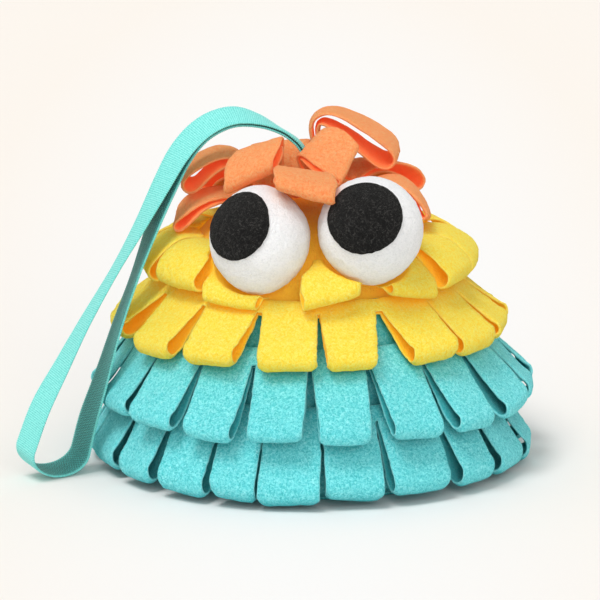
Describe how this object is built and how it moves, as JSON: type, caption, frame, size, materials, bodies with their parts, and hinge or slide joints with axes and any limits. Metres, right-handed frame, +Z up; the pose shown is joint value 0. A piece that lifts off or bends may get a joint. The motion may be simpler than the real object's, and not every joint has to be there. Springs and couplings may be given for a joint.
{
  "type": "plush snuffle toy",
  "caption": "Stuffed fleece dome with tiers of folded, slit fleece loops for hiding treats, two stuffed eyes, a crown of loose loops and a webbing hand strap.",
  "frame": {"origin": "the centre of the base panel's underside, on the surface that the toy stands on", "axes": "+Z up through the crown, -Y out of the front where the eyes are, +X to the right seen from the front, so the hand strap hangs on the -X side"},
  "size_m": [0.338, 0.2953, 0.2341],
  "materials": {
    "aqua_fleece": "nubby aqua fleece",
    "yellow_fleece": "nubby yellow fleece",
    "orange_fleece": "nubby orange fleece",
    "white_fleece": "short white fleece",
    "black_felt": "matt black felt",
    "fibre_fill": "loose polyester fibre",
    "aqua_webbing": "ribbed aqua webbing"
  },
  "bodies": {
    "toy_body": {"base_panel": "aqua_fleece", "body_side_panel": "aqua_fleece", "crown_cap": "orange_fleece", "body_stuffing": "fibre_fill", "lower_aqua_band": "aqua_fleece", "upper_aqua_band": "aqua_fleece", "lower_yellow_band": "yellow_fleece", "upper_yellow_loop_01": "yellow_fleece", "upper_yellow_loop_02": "yellow_fleece", "upper_yellow_loop_03": "yellow_fleece", "upper_yellow_loop_04": "yellow_fleece", "upper_yellow_loop_05": "yellow_fleece", "upper_yellow_loop_06": "yellow_fleece", "upper_yellow_loop_07": "yellow_fleece", "upper_yellow_loop_08": "yellow_fleece", "upper_yellow_loop_09": "yellow_fleece", "upper_yellow_loop_10": "yellow_fleece", "upper_yellow_loop_11": "yellow_fleece", "upper_yellow_loop_12": "yellow_fleece", "upper_yellow_loop_13": "yellow_fleece", "crown_loop_left_upper": "orange_fleece", "crown_loop_left_lower": "orange_fleece", "crown_loop_front_left": "orange_fleece", "crown_loop_front_upper": "orange_fleece", "crown_loop_front_lower": "orange_fleece", "crown_loop_top": "orange_fleece", "crown_loop_right": "orange_fleece", "crown_loop_back_right": "orange_fleece", "crown_loop_back_lower": "orange_fleece", "crown_loop_back_left": "orange_fleece", "crown_loop_back_upper": "orange_fleece", "strap_root": "aqua_webbing"},
    "strap_upper": {"strap_upper": "aqua_webbing"},
    "strap_loop": {"strap_loop": "aqua_webbing"},
    "left_eye": {"left_eye_cover": "white_fleece", "left_eye_stuffing": "fibre_fill", "left_eye_pupil": "black_felt"},
    "right_eye": {"right_eye_cover": "white_fleece", "right_eye_stuffing": "fibre_fill", "right_eye_pupil": "black_felt"}
  },
  "joints": [
    {"name": "strap_swing", "type": "hinge", "parent": "toy_body", "child": "strap_upper", "pos_m": [-0.00616, -0.00202, 0.20869], "axis": [-0.0454, 0.9981, -0.042], "range_deg": [0, 60]},
    {"name": "strap_bend", "type": "hinge", "parent": "strap_upper", "child": "strap_loop", "pos_m": [-0.05916, -0.00998, 0.22623], "axis": [-0.394, 0.8446, 0.3624], "range_deg": [0, 90]},
    {"name": "left_eye_twist", "type": "hinge", "parent": "toy_body", "child": "left_eye", "pos_m": [-0.0314, -0.07999, 0.16251], "axis": [-0.28, -0.7133, 0.6425], "range_deg": [-15, 15], "stiffness_Nm_per_rad": 0.05},
    {"name": "right_eye_twist", "type": "hinge", "parent": "toy_body", "child": "right_eye", "pos_m": [0.039, -0.08001, 0.16949], "axis": [0.3298, -0.6765, 0.6585], "range_deg": [-15, 15], "stiffness_Nm_per_rad": 0.05}
  ]
}
